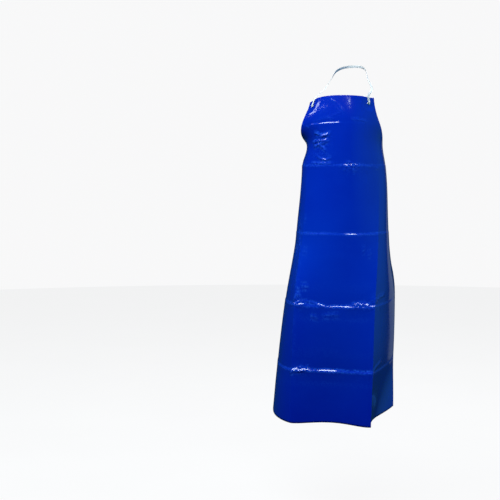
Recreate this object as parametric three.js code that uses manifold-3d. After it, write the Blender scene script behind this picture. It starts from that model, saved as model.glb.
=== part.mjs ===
// Butcher apron: a long sheet of flexible film with a bib, worn round a torso.
// It hangs from a flat neck tape threaded through two bib eyelets, and its waist corners, with an
// eyelet each, meet behind the waist. Their ties are left off.
// Millimetres. +Z up, the front faces -Y, +X is the wearer's left.
// The origin is the inner middle of the neck tape, where it rests on the back of the neck.
// Inside this file the pieces are laid out from the torso's axis (x 0, y 0) and the hem (z 0),
// and are moved to the origin at the end.
import * as THREE from 'three';
import { mergeVertices } from 'three/addons/utils/BufferGeometryUtils.js';
import Module from 'manifold-3d';

const wasm = await Module();
wasm.setup();

// ---------------------------------------------------------------- driving sizes
// The flat film: a rectangle with two quarter-ellipse armholes cut from its top corners.
const FILM_WIDTH = 900;
const FILM_LENGTH = 1200;
const FILM_THICK = 0.3;
const BIB_TOP_WIDTH = 280;
const BIB_HEIGHT = 230;          // bib top down to the waist corners
const WAIST_FOLD_DROP = 20;      // waist corners down to the fold at the waist
const FOLD_SHARES = [0, 0.21, 0.458, 0.737];   // hem and skirt folds, as shares of the waist fold's height

// The eyelets, their washers and the welded patches behind them.
const EYELET_FLANGE_R = 6;
const EYELET_BORE_R = 3.25;
const EYELET_WALL = 0.5;
const FLANGE_THICK = 0.9;
const LIP_R = 4.9;
const LIP_THICK = 0.8;
const WASHER_R = 6;
const WASHER_THICK = 0.8;
const PATCH_R = 15;
const PATCH_THICK = 0.4;
const BIB_EYELET_DROP = 22;      // bib top edge to the eyelet's centre
const BIB_EYELET_INSET = 24;     // bib top corner to the eyelet's centre
const WAIST_EYELET_DROP = 25;    // waist corner down to the eyelet's centre
const WAIST_EYELET_INSET = 25;   // back edge to the eyelet's centre
const CELL_MARGIN = 4;           // flat film kept around each patch

// The white woven tapes.
const TAPE_WIDTH = 9;
const TAPE_THICK = 1;
const BUNCHED_R = 2.3;           // the same tape bunched up inside an eyelet
const KNOT_R = 6.5;
const KNOT_LENGTH = 9;
const NECK_END_LENGTH = 32;      // free end below each neck knot

const GAP = 0.3;                 // clearance between neighbouring pieces

// Where the neck tape rests on the back of the neck, and where it passes the neck's sides.
const NECK_REST = new THREE.Vector3(12, 84, FILM_LENGTH + 124);
const NECK_HALF_WIDTH = 61;

// ---------------------------------------------------------------- the worn shape
// Each level is one horizontal cut through the worn film. Starting at the centre front, the film
// turns away from the wearer's left-right line by an angle: it reaches `bow` at the lengthwise fold,
// jumps by `kink` there, and reaches `end` at the edge. `left` is the wearer's left.
const HALF = FILM_WIDTH / 2;
const FOLD = FILM_WIDTH / 6;             // the film was folded in three across its width
const TOP_HALF = BIB_TOP_WIDTH / 2;
const CORNER_V = FILM_LENGTH - BIB_HEIGHT;
const WAIST_V = CORNER_V - WAIST_FOLD_DROP;
const skirtLevel = (i) => FOLD_SHARES[i] * WAIST_V;

const LEVELS = [
  { v: skirtLevel(0), front: -168, shift: -14, left: [-3, 108, 62], right: [-3, 40, 94] },
  { v: skirtLevel(1), front: -160, shift: -11, left: [0, 84, 86], right: [0, 41, 98] },
  { v: skirtLevel(2), front: -150, shift: -7, left: [6, 71, 94], right: [6, 43, 104] },
  { v: skirtLevel(3), front: -137, shift: 3, left: [36, 35, 127], right: [36, 14, 122] },
  { v: WAIST_V, front: -125, shift: 12, left: [63, 3, 172], right: [40, 6, 172] },
  { v: FILM_LENGTH - 170, front: -121.5, shift: 8, left: [67, 4, 168], right: [52, 4, 168] },
  { v: FILM_LENGTH - 90, front: -116, shift: 3, left: [60, 0, 167], right: [34, 0, 140] },
  { v: FILM_LENGTH, front: -98, shift: -5, left: [60, 0, 160], right: [58, 0, 160] },
];
const COLUMNS = LEVELS.map((l) => [l.front, l.shift, ...l.left, ...l.right]);

// Monotone cubic slopes (Fritsch-Carlson), so a value never overshoots between levels.
const SLOPES = COLUMNS[0].map((_, c) => {
  const h = LEVELS.slice(1).map((l, i) => l.v - LEVELS[i].v);
  const d = h.map((step, i) => (COLUMNS[i + 1][c] - COLUMNS[i][c]) / step);
  return LEVELS.map((_, i) => {
    if (i === 0) return d[0];
    if (i === LEVELS.length - 1) return d[i - 1];
    if (d[i - 1] * d[i] <= 0) return 0;
    const a = 2 * h[i] + h[i - 1];
    const b = h[i] + 2 * h[i - 1];
    return (a + b) / (a / d[i - 1] + b / d[i]);
  });
});

function levelAt(v) {
  let i = 0;
  while (i < LEVELS.length - 2 && v > LEVELS[i + 1].v) i += 1;
  const h = LEVELS[i + 1].v - LEVELS[i].v;
  const t = THREE.MathUtils.clamp((v - LEVELS[i].v) / h, 0, 1);
  return COLUMNS[i].map((p, c) => {
    const q = COLUMNS[i + 1][c];
    const h00 = (1 + 2 * t) * (1 - t) ** 2;
    const h01 = t * t * (3 - 2 * t);
    return h00 * p + h01 * q + h * (t * (1 - t) ** 2 * SLOPES[c][i] + t * t * (t - 1) * SLOPES[c][i + 1]);
  });
}

// An arc whose heading runs evenly from a0 to a1 (radians) over a length.
function arc(a0, a1, length) {
  const k = (a1 - a0) / Math.max(length, 1e-9);
  if (Math.abs(k) < 1e-7) return [length * Math.cos(a0), length * Math.sin(a0)];
  return [(Math.sin(a1) - Math.sin(a0)) / k, (Math.cos(a0) - Math.cos(a1)) / k];
}

// The place in plan of the point u from the film's middle line, v above the hem.
function plan(u, v) {
  const [front, shift, ...turn] = levelAt(v);
  const [bow, kink, end] = (u >= 0 ? turn.slice(0, 3) : turn.slice(3)).map(THREE.MathUtils.degToRad);
  const a = Math.abs(u);
  const inner = Math.min(a, FOLD);
  let [x, y] = arc(0, bow * inner / FOLD, inner);
  if (a > FOLD) {
    const start = bow + kink;
    const t = (a - FOLD) / (HALF - FOLD);
    const [dx, dy] = arc(start, start + (end - start) * t, a - FOLD);
    x += dx;
    y += dy;
  }
  return [shift + Math.sign(u) * x, front + y];
}

// The film can't stretch, so where it leans it also loses height.
function worn(u, v) {
  const steps = Math.max(1, Math.ceil(Math.abs(v - WAIST_V) / 10));
  let z = WAIST_V;
  let [x, y] = plan(u, WAIST_V);
  for (let i = 1; i <= steps; i += 1) {
    const w = WAIST_V + (v - WAIST_V) * i / steps;
    const [nx, ny] = plan(u, w);
    const dv = (v - WAIST_V) / steps;
    const lean = (nx - x) ** 2 + (ny - y) ** 2;
    z += Math.sign(dv) * Math.sqrt(Math.max(dv * dv - lean, 0.36 * dv * dv));
    x = nx;
    y = ny;
  }
  return new THREE.Vector3(x, y, z);
}

function halfWidth(v) {
  if (v <= CORNER_V) return HALF;
  const t = Math.min((FILM_LENGTH - v) / BIB_HEIGHT, 1);
  return HALF - (HALF - TOP_HALF) * Math.sqrt(1 - t * t);
}

// ---------------------------------------------------------------- small helpers
const vec = (x, y, z) => new THREE.Vector3(x, y, z);

const material = (color, roughness, metalness) => (
  new THREE.MeshStandardMaterial({ color, roughness, metalness }));

const FILM = material(0x0022a0, 0.22, 0);
const PATCH = material(0x00188c, 0.3, 0);
const NICKEL = material(0xc9ccd0, 0.25, 1);
const WHITE_TAPE = material(0xf1f2f4, 0.9, 0);

function toManifold(geometry) {
  const plain = new THREE.BufferGeometry();
  plain.setAttribute('position', geometry.getAttribute('position').clone());
  if (geometry.index) plain.setIndex(geometry.index.clone());
  const merged = mergeVertices(plain, 1e-5);
  return new wasm.Manifold(new wasm.Mesh({
    numProp: 3,
    vertProperties: new Float32Array(merged.getAttribute('position').array),
    triVerts: new Uint32Array(merged.index.array),
  }));
}

function fromManifold(solid) {
  const mesh = solid.getMesh();
  const geometry = new THREE.BufferGeometry();
  geometry.setAttribute('position', new THREE.BufferAttribute(new Float32Array(mesh.vertProperties), 3));
  geometry.setIndex(new THREE.BufferAttribute(new Uint32Array(mesh.triVerts), 1));
  return geometry;
}

const joined = (...geometries) => fromManifold(
  geometries.map(toManifold).reduce((sum, next) => sum.add(next)),
);

function indexed(points, faces) {
  const geometry = new THREE.BufferGeometry();
  geometry.setAttribute('position', new THREE.Float32BufferAttribute(points.flatMap((p) => [p.x, p.y, p.z]), 3));
  geometry.setIndex(faces.flat());
  return geometry;
}

// A closed strip along stations {at, flat, a, b}: `flat` is the outward side of the tape,
// a and b are its half width and half thickness there.
function strip(stations) {
  const points = [];
  const faces = [];
  const N = 8;
  stations.forEach((s, i) => {
    const before = stations[Math.max(i - 1, 0)].at;
    const after = stations[Math.min(i + 1, stations.length - 1)].at;
    const along = after.clone().sub(before).normalize();
    const out = s.flat.clone().addScaledVector(along, -s.flat.dot(along)).normalize();
    const side = along.clone().cross(out);
    const c = 0.586 * Math.min(s.a, s.b);
    [[s.a, s.b - c], [s.a - c, s.b], [c - s.a, s.b], [-s.a, s.b - c],
      [-s.a, c - s.b], [c - s.a, -s.b], [s.a - c, -s.b], [s.a, c - s.b]].forEach(([w, t]) => {
      points.push(s.at.clone().addScaledVector(side, w).addScaledVector(out, t));
    });
    if (i > 0) {
      for (let k = 0; k < N; k += 1) {
        const [p, q] = [(i - 1) * N + k, (i - 1) * N + (k + 1) % N];
        faces.push([p, q + N, q], [p, p + N, q + N]);
      }
    }
  });
  const last = (stations.length - 1) * N;
  for (let k = 1; k < N - 1; k += 1) {
    faces.push([0, k, k + 1], [last, last + k + 1, last + k]);
  }
  return indexed(points, faces);
}

// Stations along a smooth line through `knots` {at, flat}, with `per` steps between two knots.
function tapeLine(knots, per = 4, a = TAPE_WIDTH / 2, b = TAPE_THICK / 2) {
  const curve = new THREE.CatmullRomCurve3(knots.map((k) => k.at));
  const steps = (knots.length - 1) * per;
  return Array.from({ length: steps + 1 }, (_, i) => {
    const t = i / steps;
    const j = Math.min(Math.floor(i / per), knots.length - 2);
    const f = i / per - j;
    return {
      at: curve.getPoint(t),
      flat: knots[j].flat.clone().lerp(knots[j + 1].flat, f),
      a: THREE.MathUtils.lerp(knots[j].a ?? a, knots[j + 1].a ?? a, f),
      b: THREE.MathUtils.lerp(knots[j].b ?? b, knots[j + 1].b ?? b, f),
    };
  });
}


// ---------------------------------------------------------------- the film
const bibEyeletV = FILM_LENGTH - BIB_EYELET_DROP;
const bibEyeletU = TOP_HALF - BIB_EYELET_INSET;
const waistEyeletV = CORNER_V - WAIST_EYELET_DROP;
const waistEyeletU = HALF - WAIST_EYELET_INSET;
const bibCell = { low: bibEyeletV - PATCH_R - CELL_MARGIN, high: FILM_LENGTH, u: bibEyeletU - PATCH_R - CELL_MARGIN };
const waistCell = { low: waistEyeletV - PATCH_R - CELL_MARGIN, high: CORNER_V, u: waistEyeletU - PATCH_R - CELL_MARGIN - 5 };

// Heights of the grid's rows, denser round the armhole, and its columns across one half.
function filmRows() {
  const skirt = [];
  for (let i = 0; i < 4; i += 1) {
    const [low, high] = [skirtLevel(i), i < 3 ? skirtLevel(i + 1) : waistCell.low];
    for (let k = 0; k < 4; k += 1) skirt.push(low + (high - low) * k / 4);
  }
  const armhole = [0.03, 0.07, 0.13, 0.22, 0.36, 0.52, 0.7].map((s) => CORNER_V + s * BIB_HEIGHT)
    .filter((v) => v < bibCell.low - 5);
  return [...skirt, waistCell.low, CORNER_V, ...armhole, bibCell.low, FILM_LENGTH];
}

function filmColumns(v) {
  const w = halfWidth(v);
  const inBib = v >= bibCell.low - 1;
  const inWaist = v >= waistCell.low - 1 && v <= waistCell.high + 1;
  const half = [];
  for (let k = 1; k <= 6; k += 1) half.push(FOLD * k / 6);
  for (let k = 1; k <= 8; k += 1) half.push(FOLD + (waistCell.u - FOLD) * k / 8);
  let kept = half.filter((u) => u < w - 12);
  if (inBib) kept = [...half.filter((u) => u < bibCell.u - 8), bibCell.u];
  if (inWaist) kept = kept.filter((u) => u <= waistCell.u + 0.1);
  const right = [...kept, w];
  return [...right.map((u) => -u).reverse(), 0, ...right];
}

function zip(low, high) {
  const faces = [];
  let i = 0;
  let j = 0;
  const span = (a, b) => Math.hypot(a.u - b.u, a.v - b.v);
  while (i < low.length - 1 || j < high.length - 1) {
    const lowNext = j === high.length - 1
      || (i < low.length - 1 && span(low[i + 1], high[j]) <= span(low[i], high[j + 1]));
    if (lowNext) {
      faces.push([low[i].id, low[i + 1].id, high[j].id]);
      i += 1;
    } else {
      faces.push([low[i].id, high[j + 1].id, high[j].id]);
      j += 1;
    }
  }
  return faces;
}

const rows = filmRows();
const sheet = [];
const rowsOfPoints = rows.map((v) => filmColumns(v).map((u) => {
  const point = { id: sheet.length, u, v, at: worn(u, v) };
  sheet.push(point);
  return point;
}));

// The four film points around each eyelet are laid in one plane; the eyelet's frame comes from it.
function flatCell(side, cell, eyeletU, eyeletV) {
  const row = (v) => rowsOfPoints[rows.findIndex((r) => Math.abs(r - v) < 1e-6)];
  const pick = (v, u) => row(v).reduce((best, p) => (
    Math.abs(p.u - side * u) < Math.abs(best.u - side * u) ? p : best));
  const low = [pick(cell.low, cell.u), pick(cell.low, 1e4)];
  const high = [pick(cell.high, cell.u), pick(cell.high, 1e4)];
  const corners = [...low, ...high];
  const middle = corners.reduce((sum, p) => sum.add(p.at), vec(0, 0, 0)).divideScalar(4);
  const normal = high[1].at.clone().sub(low[0].at).cross(high[0].at.clone().sub(low[1].at)).normalize();
  if (side < 0) normal.negate();
  corners.forEach((p) => p.at.addScaledVector(normal, -p.at.clone().sub(middle).dot(normal)));
  const across = corners[1].at.clone().sub(corners[0].at);
  const rise = high[0].at.clone().sub(low[0].at);
  const up = rise.clone().addScaledVector(normal, -rise.dot(normal)).normalize();
  const along = across.clone().addScaledVector(normal, -across.dot(normal)).normalize();
  const centre = low[0].at.clone()
    .addScaledVector(along, eyeletU - cell.u)
    .addScaledVector(up, eyeletV - cell.low);
  return { centre, normal, up, along };
}

const eyelets = {
  bib_left: flatCell(1, bibCell, bibEyeletU, bibEyeletV),
  bib_right: flatCell(-1, bibCell, bibEyeletU, bibEyeletV),
  waist_left: flatCell(1, waistCell, waistEyeletU, waistEyeletV),
  waist_right: flatCell(-1, waistCell, waistEyeletU, waistEyeletV),
};

// A ring or eyelet turned about its own Z is placed with that axis on the film's outward normal.
function seated(geometry, eyelet) {
  const turn = new THREE.Quaternion().setFromUnitVectors(vec(0, 0, 1), eyelet.normal);
  return geometry.applyQuaternion(turn).translate(eyelet.centre.x, eyelet.centre.y, eyelet.centre.z);
}

const HOLE_R = EYELET_BORE_R + EYELET_WALL + GAP;

function filmSolid() {
  const faces = rowsOfPoints.slice(1).flatMap((row, i) => zip(rowsOfPoints[i], row));
  const normals = sheet.map(() => vec(0, 0, 0));
  faces.forEach(([a, b, c]) => {
    const n = sheet[b].at.clone().sub(sheet[a].at).cross(sheet[c].at.clone().sub(sheet[a].at));
    [a, b, c].forEach((k) => normals[k].add(n));
  });
  const offset = (side) => sheet.map((p, k) => (
    p.at.clone().addScaledVector(normals[k].normalize(), side * FILM_THICK / 2)));
  const count = sheet.length;
  const rim = [
    ...rowsOfPoints[0].map((p) => p.id),
    ...rowsOfPoints.slice(1, -1).map((r) => r[r.length - 1].id),
    ...rowsOfPoints[rowsOfPoints.length - 1].map((p) => p.id).reverse(),
    ...rowsOfPoints.slice(1, -1).map((r) => r[0].id).reverse(),
  ];
  const edge = rim.flatMap((a, i) => {
    const b = rim[(i + 1) % rim.length];
    return [[a, a + count, b + count], [a, b + count, b]];
  });
  const solid = indexed(
    [...offset(1), ...offset(-1)],
    [...faces, ...faces.map(([a, b, c]) => [a + count, c + count, b + count]), ...edge],
  );
  const punch = (eyelet) => {
    const drill = new THREE.CylinderGeometry(HOLE_R, HOLE_R, 6, 24).rotateX(Math.PI / 2);
    return toManifold(seated(drill, eyelet));
  };
  return fromManifold(Object.values(eyelets).reduce((sum, e) => sum.subtract(punch(e)), toManifold(solid)));
}

// ---------------------------------------------------------------- eyelets, washers, patches
// Heights along the film's outward normal, from the film's middle.
const FILM_FACE = FILM_THICK / 2;
const flangeLow = FILM_FACE + GAP;
const patchHigh = -FILM_FACE - GAP;
const patchLow = patchHigh - PATCH_THICK;
const washerHigh = patchLow - GAP;
const washerLow = washerHigh - WASHER_THICK;
const lipHigh = washerLow - GAP;
const lipLow = lipHigh - LIP_THICK;
const barrelR = EYELET_BORE_R + EYELET_WALL;

function turned(profile, segments = 20) {
  const points = [...profile, profile[0]].map(([r, z]) => new THREE.Vector2(r, z));
  return new THREE.LatheGeometry(points, segments).rotateX(Math.PI / 2);
}

const eyeletSolid = (eyelet) => seated(turned([
  [EYELET_BORE_R, lipLow + 0.4], [EYELET_BORE_R + 0.4, lipLow], [LIP_R - 0.4, lipLow], [LIP_R, lipLow + 0.4],
  [LIP_R, lipHigh], [barrelR, lipHigh], [barrelR, flangeLow], [EYELET_FLANGE_R, flangeLow],
  [EYELET_FLANGE_R, flangeLow + 0.35 * FLANGE_THICK], [EYELET_FLANGE_R - 0.8, flangeLow + FLANGE_THICK],
  [barrelR, flangeLow + FLANGE_THICK], [EYELET_BORE_R, flangeLow + 0.4 * FLANGE_THICK],
]), eyelet);

const ring = (low, high, outer, eyelet, segments) => seated(turned([
  [HOLE_R, low], [outer, low], [outer, high], [HOLE_R, high],
], segments), eyelet);

// ---------------------------------------------------------------- tapes
// A local place at an eyelet: along the film's outward normal, sideways and up.
const near = (eyelet, out, side, up) => eyelet.centre.clone()
  .addScaledVector(eyelet.normal, out).addScaledVector(eyelet.along, side).addScaledVector(eyelet.up, up);

const knotOut = lipLow - GAP - KNOT_LENGTH / 2;

function stopperKnot(eyelet) {
  const ball = new THREE.IcosahedronGeometry(1, 2).scale(KNOT_R, KNOT_R, KNOT_LENGTH / 2);
  const turn = new THREE.Quaternion().setFromUnitVectors(vec(0, 0, 1), eyelet.normal);
  const at = near(eyelet, knotOut, 0, 0);
  return ball.applyQuaternion(turn).translate(at.x, at.y, at.z);
}

// The tape bunched through the eyelet and bent upwards, its stopper knot inside,
// and the free end hanging below the knot.
function neckTapeEnd(eyelet) {
  const { normal, up } = eyelet;
  const bunched = { a: BUNCHED_R, b: BUNCHED_R };
  const neckOfTape = tapeLine([
    { at: near(eyelet, knotOut, 0, 0), flat: up.clone().negate(), ...bunched },
    { at: near(eyelet, 0, 0, 0), flat: up.clone().negate(), ...bunched },
    { at: near(eyelet, tapeOut + 2.4, 0, 1.6), flat: normal.clone().sub(up), a: 2.6, b: 1.5 },
    { at: near(eyelet, tapeOut + 0.7, 0, turnUp - 3.5), flat: normal, a: 4, b: 0.8 },
    { at: near(eyelet, tapeOut + 0.2, 0, turnUp), flat: normal },
  ]);
  const tail = tapeLine([
    { at: near(eyelet, knotOut, 0, 0), flat: normal, a: 3, b: 1 },
    { at: near(eyelet, knotOut - 1, 0, -KNOT_R - 2), flat: normal },
    { at: near(eyelet, knotOut - 1, 0, -KNOT_R - NECK_END_LENGTH / 2), flat: normal },
    { at: near(eyelet, knotOut - 0.5, 0, -KNOT_R - NECK_END_LENGTH), flat: normal },
  ], 2);
  return joined(strip(neckOfTape), stopperKnot(eyelet), strip(tail));
}

const flangeTop = flangeLow + FLANGE_THICK;
const tapeOut = flangeTop + TAPE_THICK / 2 + GAP;      // the tape lying in front of the flange
const turnUp = EYELET_FLANGE_R + 3;                    // where the flat neck tape starts, above the eyelet

// The neck tape's route, up the chest, over the shoulders and round the back of the neck.
function neckTapeSide(side) {
  const eyelet = eyelets[side > 0 ? 'bib_left' : 'bib_right'];
  const x = (w) => NECK_REST.x + side * w;
  return [
    { at: near(eyelet, tapeOut + 0.2, 0, turnUp + 3 * GAP), flat: eyelet.normal },
    { at: near(eyelet, tapeOut, 0, BIB_EYELET_DROP + 5), flat: eyelet.normal.clone().add(vec(0, 0, 0.3)) },
    { at: vec(x(NECK_HALF_WIDTH + 29), -14, FILM_LENGTH + 32), flat: vec(side * 0.5, -0.5, 0.7) },
    { at: vec(x(NECK_HALF_WIDTH + 8), 14, FILM_LENGTH + 72), flat: vec(side * 0.8, -0.2, 0.5) },
    { at: vec(x(NECK_HALF_WIDTH - 5), 44, FILM_LENGTH + 104), flat: vec(side, 0.3, 0.3) },
    { at: vec(x(0.55 * NECK_HALF_WIDTH), 74, FILM_LENGTH + 120), flat: vec(side * 0.5, 1, 0.3) },
  ];
}

const neckBack = { at: NECK_REST.clone().add(vec(0, TAPE_THICK / 2, 0)), flat: vec(0, 1, 0) };
const neckTape = () => strip(tapeLine([...neckTapeSide(-1), neckBack, ...neckTapeSide(1).reverse()]));

// ---------------------------------------------------------------- the assembly
const apron = new THREE.Group();
apron.name = 'butcher_apron';

function add(name, geometry, look) {
  const mesh = new THREE.Mesh(geometry.translate(-NECK_REST.x, -NECK_REST.y, -NECK_REST.z), look);
  mesh.name = name;
  apron.add(mesh);
}

add('apron_film', filmSolid(), FILM);
Object.entries(eyelets).forEach(([place, eyelet]) => {
  add(`${place}_eyelet`, eyeletSolid(eyelet), NICKEL);
  add(`${place}_washer`, ring(washerLow, washerHigh, WASHER_R, eyelet, 20), NICKEL);
  add(`${place}_patch`, ring(patchLow, patchHigh, PATCH_R, eyelet, 28), PATCH);
});
add('neck_tape', neckTape(), WHITE_TAPE);
add('neck_tape_end_left', neckTapeEnd(eyelets.bib_left), WHITE_TAPE);
add('neck_tape_end_right', neckTapeEnd(eyelets.bib_right), WHITE_TAPE);

export default apron;
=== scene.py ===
"""Butcher apron: a glossy film sheet hung from a woven neck tape through nickel eyelets."""
import math

import bpy
import numpy as np
from bpy.props import FloatProperty, FloatVectorProperty, PointerProperty
from mathutils import Matrix, Vector, noise


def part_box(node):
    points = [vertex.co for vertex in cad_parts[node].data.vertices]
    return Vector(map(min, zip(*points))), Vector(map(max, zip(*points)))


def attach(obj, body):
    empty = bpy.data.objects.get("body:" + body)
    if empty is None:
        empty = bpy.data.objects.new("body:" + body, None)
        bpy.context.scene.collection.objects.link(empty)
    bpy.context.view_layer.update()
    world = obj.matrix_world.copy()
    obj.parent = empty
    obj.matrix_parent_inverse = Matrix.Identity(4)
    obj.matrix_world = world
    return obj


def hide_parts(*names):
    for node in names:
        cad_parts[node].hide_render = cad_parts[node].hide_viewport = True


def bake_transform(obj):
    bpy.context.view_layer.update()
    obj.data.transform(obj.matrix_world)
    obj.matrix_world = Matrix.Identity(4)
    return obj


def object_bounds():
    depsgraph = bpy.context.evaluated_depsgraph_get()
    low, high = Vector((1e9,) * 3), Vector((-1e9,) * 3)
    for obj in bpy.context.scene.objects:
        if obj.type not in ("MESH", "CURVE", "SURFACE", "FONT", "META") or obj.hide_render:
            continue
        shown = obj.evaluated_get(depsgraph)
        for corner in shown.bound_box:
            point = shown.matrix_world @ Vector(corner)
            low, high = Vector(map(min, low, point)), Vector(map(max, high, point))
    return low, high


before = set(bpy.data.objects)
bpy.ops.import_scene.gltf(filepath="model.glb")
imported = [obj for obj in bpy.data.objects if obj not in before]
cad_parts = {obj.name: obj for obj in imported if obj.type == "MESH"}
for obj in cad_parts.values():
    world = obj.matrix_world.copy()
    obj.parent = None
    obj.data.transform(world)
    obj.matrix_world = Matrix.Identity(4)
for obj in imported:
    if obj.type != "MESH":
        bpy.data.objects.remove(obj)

bl_info = {
    "name": "Butcher Apron",
    "version": (1, 0, 0),
    "blender": (4, 5, 0),
    "location": "3D View > Sidebar > Apron",
    "description": "Builds a glossy film butcher apron round its packed frame",
    "category": "Add Mesh",
}

CAD_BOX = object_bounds()
MM = 0.001

# ------------------------ the cut and the worn shape
# From the middle of the body at hem height to the middle of the neck tape, where the frame starts.
NECK_REST = np.array((0.012, 0.084, 1.324))
BIB_HEIGHT = 0.230
BIB_TOP_HALF = 0.140     # half the width of the bib's top edge
WAIST_DROP = 0.020       # the narrowest level of the waist, below the skirt's corners

# The levels that the worn shape is given at: shares of the way from hem to waist, the waist,
# and drops from the bib's top.
SKIRT_SHARES = (0.0, 0.21, 0.458, 0.737)
BIB_DROPS = (0.170, 0.090, 0.0)
# At each level: the centre front's depth and sideways shift, then for the wearer's left and
# right side the heading at the lengthwise fold, the kink there and the heading at the back edge.
WORN_TURNS = (
    (-0.168, -0.014, -3, 108, 62, -3, 40, 94),
    (-0.160, -0.011, 0, 84, 86, 0, 41, 98),
    (-0.150, -0.007, 6, 71, 94, 6, 43, 104),
    (-0.137, 0.003, 36, 35, 127, 36, 14, 122),
    (-0.125, 0.012, 63, 3, 172, 40, 6, 172),
    (-0.1215, 0.008, 67, 4, 168, 52, 4, 168),
    (-0.116, 0.003, 60, 0, 167, 34, 0, 140),
    (-0.098, -0.005, 60, 0, 160, 58, 0, 160),
)
SHAPE_STEPS = 96         # steps up and down in which the film's lean is followed
LEAST_RISE = 0.36        # the least share of its height, squared, that leaning film keeps
# The middle of the film rides up a little between its lengthwise folds and hollows at the hem.
TOP_ARCH = 0.008
HEM_ARCH = 0.012
HEM_HOLLOW = 0.020
HEM_ARCH_REACH = 0.45    # the hem's arch and hollow die out this far up
# Each eyelet's name, and its place across and up the flat cut.
EYELETS = (("bib_left", 0.116, 1.178), ("bib_right", -0.116, 1.178),
           ("waist_left", 0.425, 0.945), ("waist_right", -0.425, 0.945))
EYELET_FLAT = 0.017      # the film lies flat this far round an eyelet
EYELET_EASE = 0.034      # and has taken its own shape again this far out
HOLE_RADIUS = 0.0046
RIM_SHARES = (0.9, 1.15)     # points between these shares of it are drawn onto the hole's edge
PATCH_BEHIND = 0.65 * MM     # from the patch's middle out to the film's
CALM_EDGE = 0.020        # nearer the back edges than this the film is less uneven
ROWS_LENGTH = 1.2        # the length of film that the grid's rows are laid out for
STILL_MIDDLE = 0.09      # columns nearer the middle than this stay straight up the bib
EDGE_ROOM = 0.012        # and the lengthwise fold stays this far inside the armhole's edge

# ------------------------ folds and crumples, in mm
# Packing folds across the apron: height, then (place across, width, steepness) of the steep slope
# above the fold line at points along it. The first four are in the skirt and at the waist.
CROSS_FOLDS = (
    (193.2, ((-450, 3, 0.2), (-152, 6, 0.5), (-120, 11, 0.6), (-84, 10, 0.58), (-70, 9, 0.48),
             (-48, 9, 0.64), (8, 9, 0.68), (24, 9, 0.50), (136, 9, 0.46), (150, 6, 0.4), (450, 3, 0.2))),
    (435.1, ((-450, 3, 0.2), (-158, 6, 0.5), (-140, 12, 0.3), (-104, 16, 0.3), (-50, 10, 0.35),
             (-25, 5, 0.56), (-8, 6, 0.57), (20, 8, 0.52), (60, 10, 0.50), (76, 10, 0.58),
             (124, 10, 0.58), (152, 5, 0.4), (450, 3, 0.2))),
    (700.2, ((-450, 3, 0.2), (-150, 4, 0.44), (-100, 4, 0.50), (-50, 4, 0.45), (0, 3, 0.36),
             (34, 5, 0.5), (54, 5, 0.5), (70, 4, 0.45), (144, 4, 0.45), (450, 3, 0.2))),
    (950.0, ((-450, 4, 0.2), (-150, 5, 0.3), (-90, 4, 0.38), (-20, 3, 0.34), (20, 4, 0.38),
             (100, 4, 0.36), (150, 4, 0.2), (450, 3, 0.2))),
    (1100.0, ((-450, 1.5, 0.1), (-124, 1.5, 0.1), (-114, 4.5, 0.38), (-50, 4.5, 0.38),
              (-4, 4.5, 0.38), (6, 2, 0.1), (450, 1.5, 0.1))),
)
FOLD_CREST = 0.6         # the share of a fold's height that stands out, the rest goes in
FOLD_HOLLOW = 80.0       # above the steep slope the film swings back over this height
FOLD_APRON = 50.0        # below the crest it eases back over this height

CREASE_END = 0.35        # the share of its height that a crease has at its end
CREASE_TAPER = 14.0      # the length over which it gains most of the rest
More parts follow.
